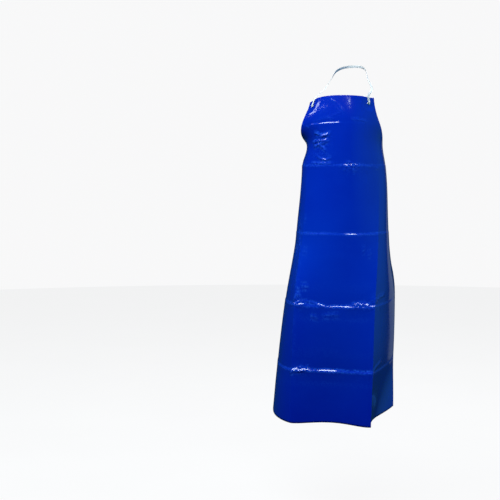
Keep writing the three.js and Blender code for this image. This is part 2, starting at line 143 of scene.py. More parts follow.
# Single creases: height, half width, and the line they follow as (across, up) points.
CREASES = (
    (0.45, 4, ((-106, 1110), (-28, 1125), (18, 1138))),
    (0.9, 5, ((-62, 1166), (-72, 1154), (-77, 1142))),
    (0.8, 5, ((-46, 1160), (-60, 1142))),
    (0.8, 5, ((-2, 1166), (16, 1140))),
    (0.7, 5, ((-14, 1158), (4, 1136))),
    (1.0, 5, ((-30, 1186), (-12, 1172))),
    (1.0, 5, ((-50, 1116), (-36, 1119), (-22, 1112))),
    (0.8, 5, ((44, 1113), (76, 1111), (106, 1106))),
    (3.0, 6, ((-102, 1070), (-72, 1058), (-42, 1059))),
    (2.8, 6, ((-84, 1050), (-62, 1056), (-40, 1066))),
    (3.7, 7, ((-116, 1036), (-84, 1040), (-48, 1040))),
    (3.2, 6, ((-112, 1020), (-84, 1028), (-54, 1034))),
    (3.0, 6, ((-88, 1026), (-66, 1012), (-58, 1002))),
    (2.2, 6, ((-116, 1040), (-110, 1018))),
    (2.1, 5, ((-96, 982), (-80, 974), (-56, 970), (-40, 978))),
    (1.6, 5, ((-124, 960), (-34, 957))),
    (2.3, 5, ((22, 964), (34, 959))),
    (2.4, 5, ((36, 952), (48, 949))),
    (2.4, 5, ((42, 934), (52, 932))),
    (1.3, 5, ((8, 952), (30, 944))),
    (2.4, 5, ((138, 941), (148, 939))),
    (2.2, 5, ((-138, 1098), (-128, 1092))),
    (2.0, 5, ((-162, 1118), (-157, 1106))),
    (2.4, 5, ((-140, 634), (-120, 632))),
    (2.2, 6, ((-130, 508), (-100, 505))),
    (2.2, 5, ((92, 648), (100, 640))),
    (2.4, 5, ((114, 630), (122, 628))),
    (2.6, 6, ((-84, 402), (-60, 396))),
    (1.3, 8, ((-40, 404), (20, 410))),
    (2.8, 6, ((-166, 432), (-153, 450), (-140, 478), (-128, 462))),
    (2.6, 4.5, ((-150, 438), (-128, 450), (-104, 453), (-70, 447), (-36, 438))),
    (2.6, 5, ((-140, 437), (-120, 440), (-108, 444))),
    (2.8, 6, ((-156, 182), (-138, 198), (-120, 208), (-106, 200), (-92, 211))),
    (2.6, 5, ((-132, 192), (-108, 197), (-88, 200))),
    (2.6, 5, ((70, 452), (80, 438), (90, 453), (100, 439), (110, 452), (122, 438), (132, 448))),
    (2.4, 5, ((62, 447), (96, 445), (128, 444))),
    (2.6, 4.5, ((-182, 728), (-170, 724))),
    (2.4, 4.5, ((-148, 755), (-136, 752))),
    (2.8, 5, ((-204, 650), (-196, 636), (-190, 620))),
    (2.6, 4.5, ((-170, 600), (-160, 590))),
    (2.6, 4.5, ((-152, 520), (-142, 513))),
    (2.6, 4.5, ((-148, 500), (-136, 496))),
    (2.2, 6, ((-176, 690), (-164, 650), (-158, 600))),
    (1.6, 8, ((150, 470), (168, 440), (196, 420))),
    (1.8, 9, ((152, 452), (186, 466), (240, 470))),
    (1.8, 9, ((152, 199), (190, 212), (250, 222))),
)

# The size of the lumps and the seed of each kind of unevenness.
FINE_CRINKLE = (15.0, 3.1)
FINER_CRINKLE = (8.5, 7.7)
BROAD_WAVES = (110.0, 1.3)
SMALL_WAVES = (42.0, 5.9)
# Places where the film is finely crumpled: across, up, reach across, reach up, strength.
CRUMPLED = (
    (-66, 1152, 36, 20, 0.2),
    (-34, 1184, 40, 12, 0.25),
    (-80, 1046, 44, 34, 0.9),
    (-84, 990, 50, 14, 0.8),
    (36, 946, 40, 18, 1.1),
    (-80, 956, 70, 8, 0.6),
    (98, 447, 30, 10, 1.7),
    (-138, 440, 24, 20, 1.4),
    (-122, 200, 34, 14, 1.5),
    (-186, 700, 24, 60, 1.2),
    (-158, 560, 14, 90, 1.0),
    (-152, 330, 12, 90, 0.5),
    (146, 445, 20, 26, 1.0),
)


# ------------------------ settings in the sidebar
class ApronFilmSettings(bpy.types.PropertyGroup):
    """Sizes and looks of the film sheet"""

    width: FloatProperty(name="Flat width", description="Width of the film before it is worn",
                         default=0.9, min=0.5, unit="LENGTH")
    length: FloatProperty(name="Flat length", description="Bib top to hem, laid flat",
                          default=1.2, min=0.8, unit="LENGTH")
    thickness: FloatProperty(name="Film thickness", description="Thickness of the film",
                             default=0.0003, min=0.0001, precision=5, unit="LENGTH")
    fold_depth: FloatProperty(name="Fold depth", description="How strongly the packing folds stand up",
                              default=1.0, min=0.0, max=2.0, subtype="FACTOR")
    crumple: FloatProperty(name="Crumple", description="How strongly the crumpled places stand up",
                           default=1.0, min=0.0, max=2.0, subtype="FACTOR")
    colour: FloatVectorProperty(name="Film colour", description="Colour of the film",
                                default=(0.0, 0.029, 0.48), min=0.0, max=1.0, subtype="COLOR")
    # Painted shade: the darker blue that the film is blended towards near the hem and the bib's top,
    # mixed with a random deeper tone. The welded patches are drawn in it too, darker still.
    shade_and_deep_tone_colour: FloatVectorProperty(name="Deep colour", description="Colour where the film is deepest",
                                     default=(0.0, 0.0095, 0.345), min=0.0, max=1.0, subtype="COLOR")
    worn_colour: FloatVectorProperty(name="Stressed colour", description="Paler colour along sharp folds",
                                     default=(0.012, 0.08, 0.60), min=0.0, max=1.0, subtype="COLOR")


class ApronEyeletSettings(bpy.types.PropertyGroup):
    """Sizes and looks of the eyelets, washers and patches"""

    flange_radius: FloatProperty(name="Flange radius", description="Radius of the eyelet's front flange",
                                 default=0.006, unit="LENGTH")
    bore_radius: FloatProperty(name="Bore radius", description="Radius of the hole through the eyelet",
                               default=0.00325, precision=5, unit="LENGTH")
    patch_radius: FloatProperty(name="Patch radius", description="Radius of the welded patch",
                                default=0.015, unit="LENGTH")
    metal: FloatVectorProperty(name="Metal colour", description="Colour of the nickel plate",
                               default=(0.72, 0.72, 0.70), min=0.0, max=1.0, subtype="COLOR")


class ApronTapeSettings(bpy.types.PropertyGroup):
    """Sizes and looks of the neck tape"""

    width: FloatProperty(name="Tape width", description="Width of the woven tape",
                         default=0.009, unit="LENGTH")
    thickness: FloatProperty(name="Tape thickness", description="Thickness of the woven tape",
                             default=0.001, precision=4, unit="LENGTH")
    colour: FloatVectorProperty(name="Tape colour", description="Colour of the woven tape",
                                default=(0.66, 0.67, 0.68), min=0.0, max=1.0, subtype="COLOR")


class ApronStageSettings(bpy.types.PropertyGroup):
    """Camera, floor and lights"""

    lens: FloatProperty(name="Lens", description="Focal length of the camera",
                        default=79.4, min=20.0, unit="CAMERA")
    floor_drop: FloatProperty(name="Floor below hem", description="Height of the hem above the floor",
                              default=0.36, min=0.0, unit="LENGTH")
    overhead: FloatProperty(name="Overhead light", description="Power of the wide overhead light",
                            default=222.0, min=0.0, unit="POWER")
    side: FloatProperty(name="Side light", description="Power of the softbox at the side",
                        default=30.0, min=0.0, unit="POWER")
    back: FloatProperty(name="Back light", description="Power of the softbox high behind the piece",
                        default=180.0, min=0.0, unit="POWER")
    streak: FloatProperty(name="Streak light", description="Power of the dim strip along one side",
                          default=0.35, min=0.0, unit="POWER")


# ------------------------ small helpers
def only(piece):
    """Makes this the only selected object, and the active one."""
    bpy.ops.object.select_all(action="DESELECT")
    piece.select_set(True)
    bpy.context.view_layer.objects.active = piece


def unit(vector):
    """The vector at length one."""
    return np.asarray(vector, float) / np.linalg.norm(vector)


def ease(share):
    """A soft step from 0 to 1."""
    held = np.clip(share, 0.0, 1.0)
    return held * held * (3.0 - 2.0 * held)


def mesh_piece(name, points, faces, flat):
    """A new object from points and faces, with its flat layout given at each point."""
    mesh = bpy.data.meshes.new(name)
    mesh.from_pydata([tuple(p) for p in points], [], faces)
    layer = mesh.uv_layers.new(name="flat")
    corner = np.empty(len(mesh.loops), np.int32)
    mesh.loops.foreach_get("vertex_index", corner)
    layer.data.foreach_set("uv", np.asarray(flat, np.float32)[corner].ravel())
    mesh.validate()
    piece = bpy.data.objects.new(name, mesh)
    bpy.context.scene.collection.objects.link(piece)
    return piece


def smooth_line(knots, per):
    """Points on a centripetal Catmull-Rom line through the knots, `per` steps between two."""
    knots = np.asarray(knots, float)
    held = np.vstack([2 * knots[0] - knots[1], knots, 2 * knots[-1] - knots[-2]])
    line = []
    for i in range(1, len(held) - 2):
        p = held[i - 1:i + 3]
        t = np.concatenate([[0.0], np.cumsum(np.sqrt(np.linalg.norm(np.diff(p, axis=0), axis=1)))])
        for step in range(per):
            at = t[1] + (t[2] - t[1]) * step / per
            a = [((t[k + 1] - at) * p[k] + (at - t[k]) * p[k + 1]) / (t[k + 1] - t[k]) for k in range(3)]
            b = [((t[k + 2] - at) * a[k] + (at - t[k]) * a[k + 1]) / (t[k + 2] - t[k]) for k in range(2)]
            line.append(((t[2] - at) * b[0] + (at - t[1]) * b[1]) / (t[2] - t[1]))
    line.append(knots[-1])
    return np.array(line)


# ------------------------ material building blocks
def node_adder(tree):
    """Empties the tree. Returns a helper that adds a node and sets or links its inputs."""
    tree.nodes.clear()

    def add(kind, inputs=None, **settings):
        node = tree.nodes.new(kind)
        for key, value in settings.items():
            setattr(node, key, value)
        for key, value in (inputs or {}).items():
            if isinstance(value, bpy.types.NodeSocket):
                tree.links.new(value, node.inputs[key])
            else:
                node.inputs[key].default_value = value
        return node

    return add


def new_material(name):
    """A node material with its shader, the node helper and a helper that feeds the shader."""
    look = bpy.data.materials.new(name)
    look.use_nodes = True
    add = node_adder(look.node_tree)
    shader = add("ShaderNodeBsdfPrincipled")
    add("ShaderNodeOutputMaterial", {"Surface": shader.outputs["BSDF"]})

    def feed(socket, name_in):
        look.node_tree.links.new(socket, shader.inputs[name_in])

    return look, shader, add, feed


def colour_mix(add, share, low, high):
    """A colour that runs from low to high with the share."""
    inputs = {"Factor": share, "A": low, "B": high}
    return add("ShaderNodeMix", inputs, data_type="RGBA").outputs["Result"]


def rgba(colour):
    """An opaque colour from a setting."""
    return (*colour, 1.0)


def remap(add, value, low, high, from_low=0.0, from_high=1.0):
    """A value moved from one range to another and held there."""
    return add("ShaderNodeMapRange", {"Value": value, "From Min": from_low, "From Max": from_high,
                                      "To Min": low, "To Max": high}).outputs["Result"]


def reckon(add, operation, *values, **settings):
    """The result of a sum, product or other operation on values."""
    inputs = dict(enumerate(values))
    return add("ShaderNodeMath", inputs, operation=operation, **settings).outputs["Value"]


def mottle(add, place, scale, detail, **more):
    """Soft noise with lumps at this scale."""
    return add("ShaderNodeTexNoise", {"Vector": place, "Scale": scale, "Detail": detail,
                                      **more}).outputs["Fac"]


def relief_of(add, height, distance, strength, **under):
    """The surface's direction once a height stands on it, or on another direction, its Normal."""
    return add("ShaderNodeBump", {"Height": height, "Distance": distance, "Strength": strength,
                                  **under}).outputs["Normal"]


# ------------------------ the film's shape
class WornShape:
    """The film as it is worn: any point of the flat cut, placed round the body."""

    def __init__(self, width, length):
        self.half = width / 2
        self.fold = width / 6
        self.length = length
        self.corner = length - BIB_HEIGHT
        self.waist = self.corner - WAIST_DROP
        self.heights = np.array([s * self.waist for s in SKIRT_SHARES]
                                + [self.waist] + [length - drop for drop in BIB_DROPS])
        self.values = np.array(WORN_TURNS, float)
        self.values[:, 2:] = np.radians(self.values[:, 2:])
        self.slopes = self.even_slopes()

    def even_slopes(self):
        """Slopes at the levels that never let a value overshoot between two of them."""
        h = np.diff(self.heights)[:, None]
        d = np.diff(self.values, axis=0) / h
        slopes = np.zeros_like(self.values)
        slopes[0], slopes[-1] = d[0], d[-1]
        a = 2 * h[1:] + h[:-1]
        b = h[1:] + 2 * h[:-1]
        steady = d[:-1] * d[1:] > 0
        low = np.where(steady, d[:-1], 1.0)
        high = np.where(steady, d[1:], 1.0)
        slopes[1:-1] = np.where(steady, (a + b) / (a / low + b / high), 0.0)
        return slopes

    def level(self, up):
        """Depth, shift and headings at these heights on the film."""
        i = np.clip(np.searchsorted(self.heights, up, side="right") - 1, 0, len(self.heights) - 2)
        h = (self.heights[i + 1] - self.heights[i])[:, None]
        t = np.clip((up - self.heights[i])[:, None] / h, 0.0, 1.0)
        return ((1 + 2 * t) * (1 - t) ** 2 * self.values[i] + t * t * (3 - 2 * t) * self.values[i + 1]
                + h * (t * (1 - t) ** 2 * self.slopes[i] + t * t * (t - 1) * self.slopes[i + 1]))

    @staticmethod
    def arc(start, end, length):
        """The run of an arc whose heading turns evenly from start to end."""
        bend = (end - start) / np.maximum(length, 1e-9)
        bend = np.where(np.abs(bend) < 1e-5, 1e-5, bend)
        last = start + bend * length
        return (np.sin(last) - np.sin(start)) / bend, (np.cos(start) - np.cos(last)) / bend

    def plan(self, across, up):
        """Places seen from above, for a grid of places across at each height."""
        level = self.level(up)[:, :, None]
        left = across >= 0
        bow = np.where(left, level[:, 2], level[:, 5])
        kink = np.where(left, level[:, 3], level[:, 6])
        end = np.where(left, level[:, 4], level[:, 7])
        reach = np.abs(across)
        inner = np.minimum(reach, self.fold)
        outer = np.maximum(reach - self.fold, 0.0)
        x, y = self.arc(0.0, bow * inner / self.fold, inner)
        turned = bow + kink
        dx, dy = self.arc(turned, turned + (end - turned) * outer / (self.half - self.fold), outer)
        past = outer > 0
        x = x + np.where(past, dx, 0.0)
        y = y + np.where(past, dy, 0.0)
        return level[:, 1] + np.sign(across) * x, level[:, 0] + y

    def place(self, across, up):
        """Points in the frame. The film can't stretch, so where it leans it loses height."""
        z = np.full(across.shape, self.waist)
        x, y = self.plan(across, np.full(up.shape, self.waist))
        rise = ((up - self.waist) / SHAPE_STEPS)[:, None]
        for i in range(1, SHAPE_STEPS + 1):
            next_x, next_y = self.plan(across, self.waist + (up - self.waist) * i / SHAPE_STEPS)
            lean = (next_x - x) ** 2 + (next_y - y) ** 2
            z = z + np.sign(rise) * np.sqrt(np.maximum(rise ** 2 - lean, LEAST_RISE * rise ** 2))
            x, y = next_x, next_y
        arch = np.clip(1 - (across / self.fold) ** 2, 0.0, 1.0) ** 1.5
        top = ease((up - self.corner) / BIB_HEIGHT)[:, None]
        hem = ease(1 - up / HEM_ARCH_REACH)[:, None]
        z = z + arch * (TOP_ARCH * top + HEM_ARCH * hem)
        y = y + arch * HEM_HOLLOW * hem
        return np.stack([x, y, z], -1) - NECK_REST

    def half_width(self, up):
        """Half the cut's width at these heights, narrowing round the armholes."""
        t = np.clip((self.length - up) / BIB_HEIGHT, 0.0, 1.0)
        armhole = self.half - (self.half - BIB_TOP_HALF) * np.sqrt(1 - t * t)
        return np.where(up <= self.corner, self.half, armhole)


def film_columns():
    """Places across the cut, closer together at the front, the lengthwise folds and the eyelets."""
    front = np.arange(0, 150, 3.75)
    bend = np.array([150, 151.5, 154, 157.5, 162, 167, 172.5, 178.5, 185, 192])
    side = np.linspace(202, 412, 23)
    eyelet = np.array([416, 418.5, 421, 423, 425, 427, 429, 431.5, 434, 438, 444, 450])
    half = np.concatenate([front[:-1], [147.5, 149], bend, side, eyelet]) * MM
    return np.concatenate([-half[:0:-1], half])


def film_rows(shape):
    """Heights of the grid's rows, closer together at the folds, the eyelets and the armholes."""
    folds = [f[0] for f in CROSS_FOLDS[:4]]
    rows = []
    up = 0.0
    while up < 928:
        rows.append(up)
        near = min(abs(up - f) for f in folds)
        above = any(0 < up - f < 26 for f in folds)
        up += 2.4 if near < 4 else (3.2 if above else (4.5 if near < 40 else 7.6))
    rows += list(np.arange(930, 962, 2.6)) + [964.5, 967.5]
    rows += [970 + d for d in (0, 0.6, 1.6, 3, 5, 7.5, 10.5, 14, 18, 22.5, 26.5)]
    rows += [*np.arange(1000, 1094, 3.1), *np.arange(1095.5, 1110, 1.5), *np.arange(1112, 1199, 3.1)]
    rows.append(1200)
    return np.array(rows) * MM * (shape.length / ROWS_LENGTH)


def spread(shape, columns, rows):
    """Each column's place across at each row: the outer columns draw in round the armholes."""
    width = shape.half_width(rows)[:, None]
    knee = np.minimum(shape.fold, width - EDGE_ROOM)
    reach = np.abs(columns)[None, :]
    middle = STILL_MIDDLE + (reach - STILL_MIDDLE) * (knee - STILL_MIDDLE) / (shape.fold - STILL_MIDDLE)
    outer = knee + (reach - shape.fold) * (width - knee) / (shape.half - shape.fold)
    place = np.where(reach <= STILL_MIDDLE, reach, np.where(reach <= shape.fold, middle, outer))
    return np.sign(columns)[None, :] * place


def fold_relief(u, v):
    """Height of the packing folds over the smooth film, in mm, for places in mm."""
    relief = np.zeros_like(u)
    for at, points in CROSS_FOLDS:
        places, reach, steepness = zip(*points)
        steep = np.interp(u, places, reach)
        steep = steep * (1 + 0.10 * np.sin(u / 9.0 + at) + 0.08 * np.sin(u / 23.0 - at))
        height = steep * np.interp(u, places, steepness)
        s = v - at - 0.8 * np.sin(u / 37.0 + at) - 0.25 * np.sin(u / 11.0)
        relief += np.where((s >= 0) & (s <= steep), height * (FOLD_CREST - s / steep), 0.0)
        back = np.clip(1 - (s - steep) / FOLD_HOLLOW, 0.0, 1.0)
        relief += np.where(s > steep, (FOLD_CREST - 1) * height * back ** 2, 0.0)
        down = np.clip(1 + s / FOLD_APRON, 0.0, 1.0)
        relief += np.where(s < 0, FOLD_CREST * height * down ** 2, 0.0)
    return relief


def to_line(u, v, line):
    """Distance of each place to a line of points, and how far along its two ends it lies."""
    near = np.full(u.shape, 1e9)
    line = np.asarray(line, float)
    ends = np.minimum(np.hypot(u - line[0, 0], v - line[0, 1]),
                      np.hypot(u - line[-1, 0], v - line[-1, 1]))
    for (ax, ay), (bx, by) in zip(line[:-1], line[1:]):
        dx, dy = bx - ax, by - ay
        t = np.clip(((u - ax) * dx + (v - ay) * dy) / (dx * dx + dy * dy), 0.0, 1.0)
        near = np.minimum(near, np.hypot(u - ax - t * dx, v - ay - t * dy))
    return near, ends


def crease_relief(u, v):
    """Height of the single creases, in mm, lower towards their ends."""
    relief = np.zeros_like(u)
    for height, half, line in CREASES:
        near, ends = to_line(u, v, line)
        tent = np.clip(1 - near / half, 0.0, 1.0)
        relief += height * tent * np.clip(CREASE_END + ends / CREASE_TAPER, 0.0, 1.0)
    return relief


def crumpled_share(u, v):
    """How crumpled the film is at each place, from 0 to 1."""
    share = np.zeros_like(u)
    for across, up, wide, tall, strength in CRUMPLED:
        reach = ((u - across) / wide) ** 2 + ((v - up) / tall) ** 2
        share = np.maximum(share, strength * np.exp(-reach))
    return share


def rough_field(u, v, size, seed):
    """Smooth noise from -1 to 1 with lumps of this size in mm."""
    flat = [noise.noise(Vector((a / size, b / size, seed))) for a, b in zip(u.ravel(), v.ravel())]
    return np.array(flat).reshape(u.shape)


def eyelet_seat(place):
    """Centre of the film at an eyelet, and its outward and upward directions, from the frame's solids."""
    patch = sum(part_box(place + "_patch"), Vector()) / 2
    washer = sum(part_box(place + "_washer"), Vector()) / 2
    out = unit(patch - washer)
    centre = np.array(patch) + out * PATCH_BEHIND
    rise = unit(np.array((0, 0, 1)) - out * out[2])
    return centre, out, rise


def seat_on_eyelets(shape, points, u, v):
    """Lays the film flat round each eyelet. Returns the points and the share each is held."""
    held = np.zeros(u.shape)
    step = 5 * MM
    for place, across, up in EYELETS:
        centre, out, _ = eyelet_seat(place)
        cross = shape.place(np.array([[across - step, across, across + step]] * 3),
                            np.array([up - step, up, up + step]))
        along_v = cross[2, 1] - cross[0, 1]
        along_u = cross[1, 2] - cross[1, 0]
        along_v = unit(along_v - out * (along_v @ out))
        along_u = along_u - out * (along_u @ out)
        along_u = unit(along_u - along_v * (along_u @ along_v))
        share = 1 - ease((np.hypot(u - across, v - up) - EYELET_FLAT) / (EYELET_EASE - EYELET_FLAT))
        flat = centre + (u - across)[..., None] * along_u + (v - up)[..., None] * along_v
        points = points * (1 - share[..., None]) + flat * share[..., None]
        held = np.maximum(held, share)
    return points, held


def film_mesh(settings):
    """The film's middle surface with its folds, creases and crumples."""
    shape = WornShape(settings.width, settings.length)
    columns = film_columns()
    rows = film_rows(shape)
    u = spread(shape, columns, rows)
    v = np.repeat(rows[:, None], len(columns), axis=1)
    points = shape.place(u, rows)
    points, held = seat_on_eyelets(shape, points, u, v)
    along = np.gradient(points, axis=1)
    rise = np.gradient(points, axis=0)
    normal = np.cross(along, rise)
    normal /= np.maximum(np.linalg.norm(normal, axis=2, keepdims=True), 1e-12)

    um, vm = u / MM, v / MM
    crumpled = crumpled_share(um, vm)
    folds = fold_relief(um, vm) * settings.fold_depth
    creases = crease_relief(um, vm)
    fine = 1 - 2.2 * np.abs(rough_field(um, vm, *FINE_CRINKLE))
    finer = 1 - 2.2 * np.abs(rough_field(um, vm, *FINER_CRINKLE))
    crinkle = crumpled * (0.75 * fine + 0.3 * finer)
    waves = 0.9 * rough_field(um, vm * 0.7, *BROAD_WAVES) + 0.12 * rough_field(um, vm, *SMALL_WAVES)
    relief = folds + (creases + crinkle) * settings.crumple + waves
    relief *= (1 - held)
    edge = np.clip((np.abs(columns)[-1] - np.abs(columns)) / CALM_EDGE, 0.3, 1.0)[None, :]
    points = points + normal * (relief * edge * MM)[..., None]

    count = len(columns)
    index = np.arange(points.shape[0] * count).reshape(points.shape[0], count)
    near_hole = np.zeros(u.shape, bool)
    for place, across, up in EYELETS:
        centre, out, _ = eyelet_seat(place)
        reach = np.hypot(u - across, v - up)
        near_hole |= reach < HOLE_RADIUS * RIM_SHARES[0]
        rim = (reach >= HOLE_RADIUS * RIM_SHARES[0]) & (reach < HOLE_RADIUS * RIM_SHARES[1])
        spoke = points[rim] - centre
        spoke -= np.outer(spoke @ out, out)
        points[rim] = centre + spoke * (HOLE_RADIUS / np.linalg.norm(spoke, axis=1))[:, None]
    faces = []
    for i in range(points.shape[0] - 1):
        for j in range(count - 1):
            corners = ((i, j), (i, j + 1), (i + 1, j + 1), (i + 1, j))
            if not any(near_hole[c] for c in corners):
                faces.append(tuple(int(index[c]) for c in corners))
    used = np.zeros(points.shape[0] * count, bool)
    used[np.array(faces).ravel()] = True
    renumber = np.cumsum(used) - 1
    faces = [tuple(int(renumber[k]) for k in face) for face in faces]
    flat = np.stack([u / settings.width + 0.5, v / settings.length], -1).reshape(-1, 2)
    piece = mesh_piece("film_sheet", points.reshape(-1, 3)[used], faces, flat[used])
    bend = np.abs(np.gradient(np.gradient(relief, axis=0), axis=0)) * 1.4
    wear = np.clip(bend + 0.5 * crumpled * np.clip(fine - 0.75, 0, 1) * 4, 0, 1)
    for name, values in (("wear", wear), ("crumpled", crumpled * (1 - held))):
        layer = piece.data.attributes.new(name, "FLOAT", "POINT")
        layer.data.foreach_set("value", values.ravel()[used].astype(np.float32))
    return piece


def film_material(settings):
    """Glossy, faintly uneven film, paler along sharp folds and finely crinkled in places, with painted
    shade darkening it towards the hem and the bib's top.
    """
    look, shader, add, feed = new_material("glossy_film")
    place = add("ShaderNodeTexCoord").outputs["Object"]
    flat = add("ShaderNodeUVMap", uv_map="flat").outputs["UV"]
    wear = add("ShaderNodeAttribute", attribute_name="wear").outputs["Fac"]
    crumpled = add("ShaderNodeAttribute", attribute_name="crumpled").outputs["Fac"]

    # Painted shade: the film is blended towards the shade colour near the hem (low) and near the bib's
    # top (high), with a random deeper tone on top (uneven).
    height = add("ShaderNodeSeparateXYZ", {"Vector": flat}).outputs["Y"]
    low = remap(add, height, 0.7, 0.0, 0.0, 0.52)
    high = remap(add, height, 0.0, 0.42, 0.6, 0.86)
    uneven = remap(add, mottle(add, place, 3.2, 3.0), 0.0, 0.4, 0.35, 0.7)
    shade_and_deep_tone = reckon(add, "ADD", reckon(add, "ADD", low, high), uneven, use_clamp=True)
    body = colour_mix(add, shade_and_deep_tone, rgba(settings.colour), rgba(settings.shade_and_deep_tone_colour))
    broken = remap(add, mottle(add, place, 160.0, 2.0), 0.0, 1.0, 0.38, 0.62)
    stressed = reckon(add, "MULTIPLY", wear, broken)
    feed(colour_mix(add, stressed, body, rgba(settings.worn_colour)), "Base Color")

    feed(remap(add, mottle(add, place, 14.0, 4.0), 0.11, 0.18, 0.3, 0.7), "Roughness")
    shader.inputs["Specular IOR Level"].default_value = 0.22
    shader.inputs["IOR"].default_value = 1.5
    shader.inputs["Coat Weight"].default_value = 0.8
    shader.inputs["Coat Roughness"].default_value = 0.05

    facets = add("ShaderNodeTexVoronoi", {"Vector": place, "Scale": 95.0, "Randomness": 1.0},
                 feature="DISTANCE_TO_EDGE")
    crease = reckon(add, "MULTIPLY", facets.outputs["Distance"], crumpled)
    normal = relief_of(add, mottle(add, place, 900.0, 2.0), 0.00002, 0.5)
    normal = relief_of(add, mottle(add, place, 36.0, 3.0, Distortion=0.6), 0.0005, 0.5, Normal=normal)
    feed(relief_of(add, crease, 0.004, 0.6, Normal=normal), "Normal")
    return look


class APRON_OT_film(bpy.types.Operator):
    """Makes the film sheet with its packing folds and crumples"""

    bl_idname = "apron.film"
    bl_label = "Film Sheet"

    def execute(self, context):
        settings = context.scene.apron_film
        piece = film_mesh(settings)
        only(piece)
        wall = piece.modifiers.new("wall", "SOLIDIFY")
        wall.thickness = settings.thickness
        wall.offset = 0.0
        bpy.ops.object.modifier_apply(modifier=wall.name)
        bpy.ops.object.shade_smooth()
        piece.data.materials.append(film_material(settings))
        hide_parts("apron_film")
        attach(piece, "apron")
        return {"FINISHED"}


# ------------------------ eyelets, washers and patches
def turned_ring(name, profile, sides=64):
    """A closed ring about the up axis, drawn from one circle along a profile of (radius, height)."""
    bpy.ops.object.select_all(action="DESELECT")
    radius, height = profile[0]
    bpy.ops.mesh.primitive_circle_add(vertices=sides, radius=radius, location=(0, 0, 0))
    ring = bpy.context.active_object
    ring.name = name
    ring.data.name = name
    bpy.ops.object.mode_set(mode="EDIT")
    bpy.ops.mesh.select_all(action="SELECT")
    bpy.ops.transform.translate(value=(0, 0, height))
    for (r0, z0), (r1, z1) in zip(profile, [*profile[1:], profile[0]]):
        bpy.ops.mesh.extrude_region_move(TRANSFORM_OT_translate={"value": (0, 0, z1 - z0)})
        bpy.ops.transform.resize(value=(r1 / r0, r1 / r0, 1), center_override=(0, 0, 0))
    bpy.ops.mesh.select_all(action="SELECT")
    bpy.ops.mesh.remove_doubles(threshold=1e-6)
    bpy.ops.mesh.normals_make_consistent(inside=False)
    bpy.ops.object.mode_set(mode="OBJECT")
    only(ring)
    bpy.ops.object.shade_smooth_by_angle(angle=math.radians(50))
    return ring


def seat_ring(ring, place):
    """Turns a ring's axis onto the film's outward direction at an eyelet, and applies its place."""
    centre, out, rise = eyelet_seat(place)
    side = np.cross(rise, out)
    ring.matrix_world = Matrix((
        (side[0], rise[0], out[0], centre[0]),
        (side[1], rise[1], out[1], centre[1]),
        (side[2], rise[2], out[2], centre[2]),
        (0, 0, 0, 1),
    ))
    only(ring)
    bpy.ops.object.transform_apply(location=True, rotation=True, scale=True)


def copies_at_eyelets(master, kind, look):
    """One seated copy of the master for each eyelet, each with its own mesh."""
    for place, _, _ in EYELETS:
        piece = master.copy()
        piece.data = master.data.copy()
        piece.name = f"{place}_{kind}_fine"
        piece.data.name = piece.name
        bpy.context.scene.collection.objects.link(piece)
        piece.data.materials.append(look)
        seat_ring(piece, place)
        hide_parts(f"{place}_{kind}")
        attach(piece, "apron")
    bpy.data.objects.remove(master)


def nickel_material(settings):
    """Bright nickel plate with faint turning marks and finger dulling."""
    look, shader, add, feed = new_material("nickel_plate")
    place = add("ShaderNodeTexCoord").outputs["Object"]
    dull = mottle(add, place, 220.0, 3.0)
    darker = tuple(0.8 * c for c in settings.metal)
    feed(colour_mix(add, remap(add, dull, 0.0, 0.6, 0.4, 0.7), rgba(settings.metal), rgba(darker)),
         "Base Color")
    feed(remap(add, dull, 0.14, 0.30, 0.3, 0.7), "Roughness")
    shader.inputs["Metallic"].default_value = 1.0
    feed(relief_of(add, mottle(add, place, 1800.0, 2.0), 0.00002, 0.4), "Normal")
    return look


def patch_material(settings):
    """The film's colour, a little deeper and duller where it is welded double."""
    look, shader, add, feed = new_material("welded_film")
    place = add("ShaderNodeTexCoord").outputs["Object"]
    cloud = mottle(add, place, 90.0, 3.0)
    shade_and_deep_tone = settings.shade_and_deep_tone_colour
    darker = tuple(0.75 * c for c in shade_and_deep_tone)
    feed(colour_mix(add, remap(add, cloud, 0.0, 1.0, 0.35, 0.65), rgba(shade_and_deep_tone), rgba(darker)), "Base Color")
    feed(remap(add, cloud, 0.24, 0.38, 0.3, 0.7), "Roughness")
    shader.inputs["Coat Weight"].default_value = 0.4
    shader.inputs["Coat Roughness"].default_value = 0.12
    press = add("ShaderNodeTexVoronoi", {"Vector": place, "Scale": 1400.0}, feature="F1")
    feed(relief_of(add, press.outputs["Distance"], 0.00005, 0.5), "Normal")
    return look


